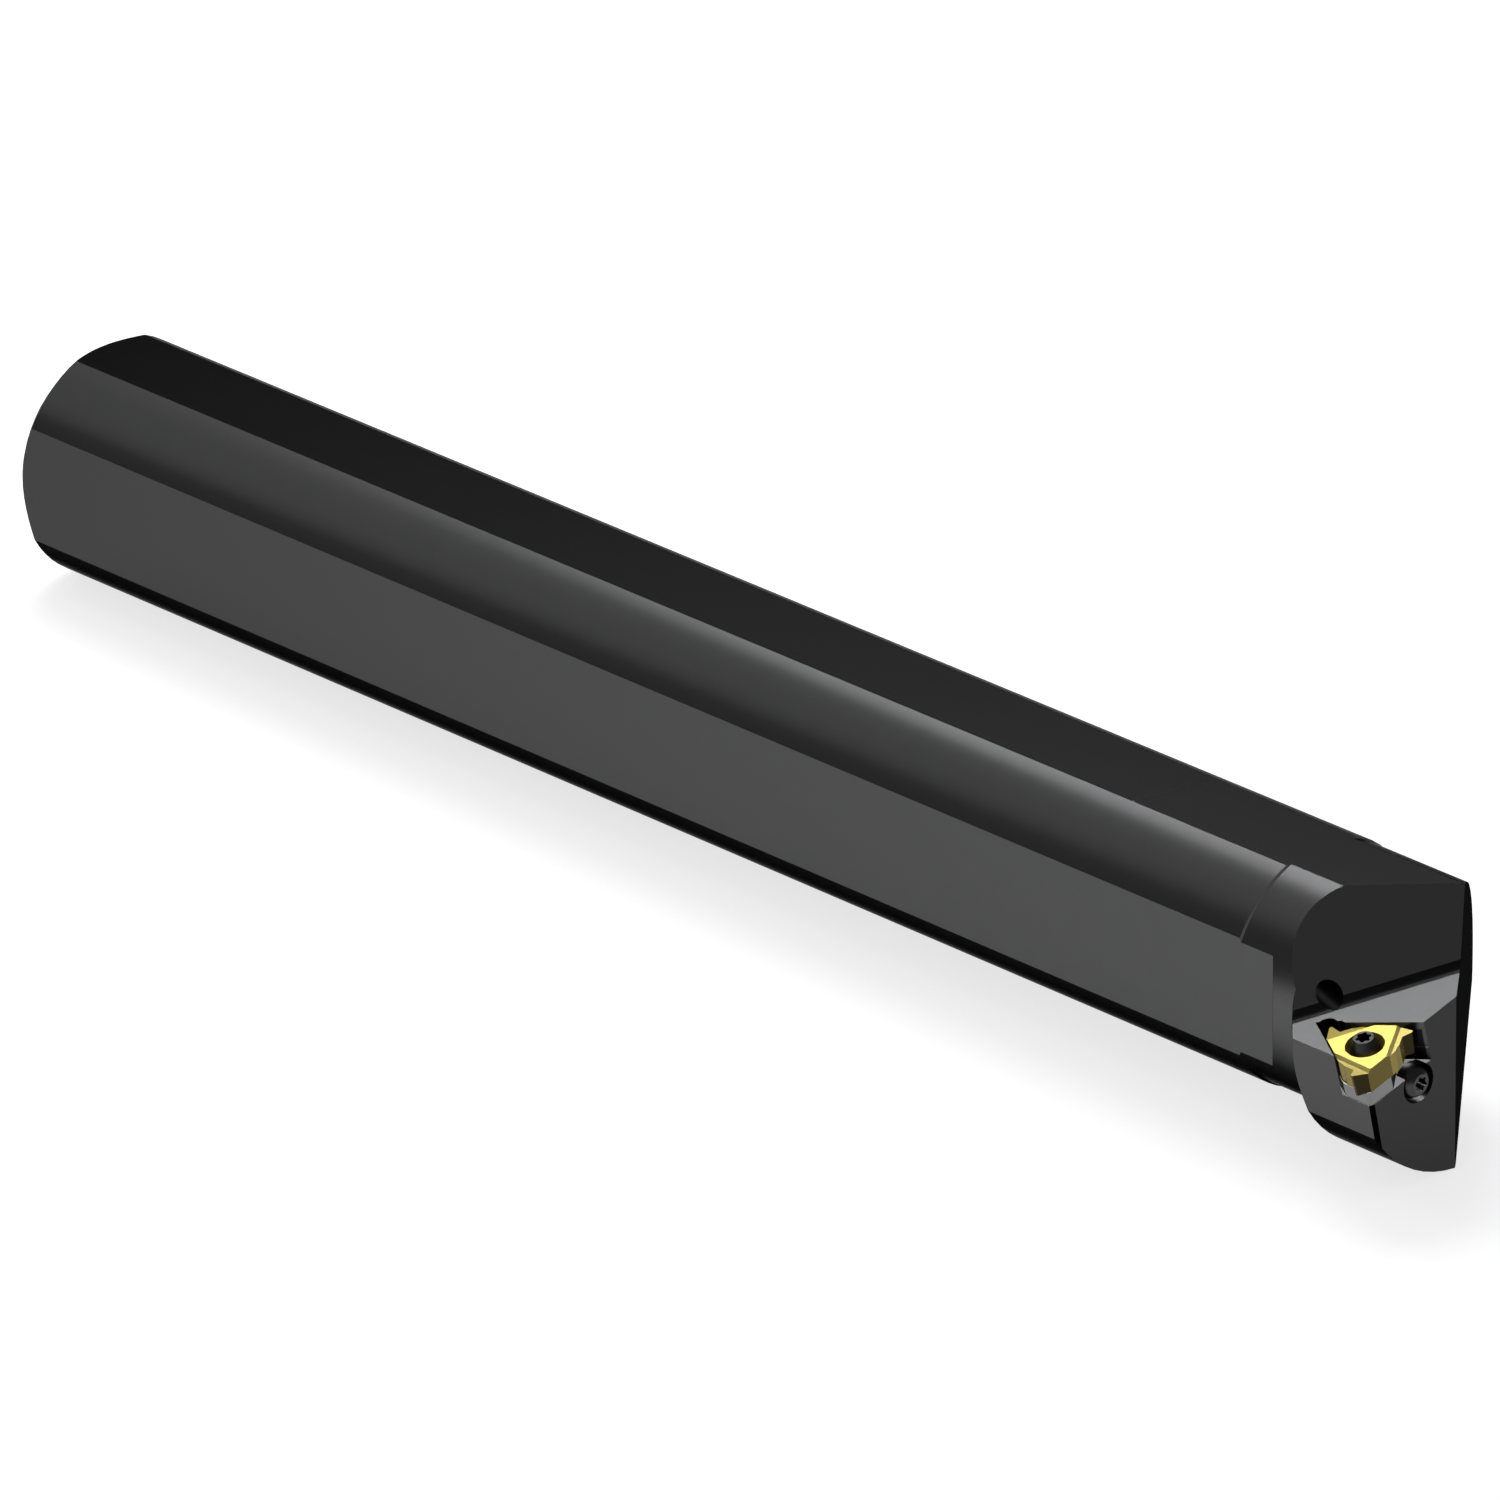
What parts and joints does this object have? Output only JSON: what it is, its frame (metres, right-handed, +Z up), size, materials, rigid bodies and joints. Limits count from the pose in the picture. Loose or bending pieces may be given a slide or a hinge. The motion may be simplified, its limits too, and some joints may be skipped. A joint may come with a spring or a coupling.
{
  "type": "threading boring bar",
  "caption": "Round steel boring bar with flats along its shank and a bevelled head that carries a tilted three-corner insert for cutting internal threads.",
  "frame": {"origin": "centre of the rear end face, on the shank's axis and at the mouth of the coolant inlet", "axes": "+X along the shank towards the head, +Z up on the insert's rake side, the cutting tip towards -Y"},
  "size_m": [0.3077, 0.0459, 0.0404],
  "materials": {
    "bar_steel": "blackened, fine ground",
    "shim_steel": "ground",
    "coated_carbide": "gold coating, satin",
    "screw_steel": "black oxide"
  },
  "bodies": {
    "root": {"bar": "bar_steel", "shim": "shim_steel", "insert": "coated_carbide", "insert_screw": "screw_steel", "shim_screw": "screw_steel"}
  },
  "joints": []
}
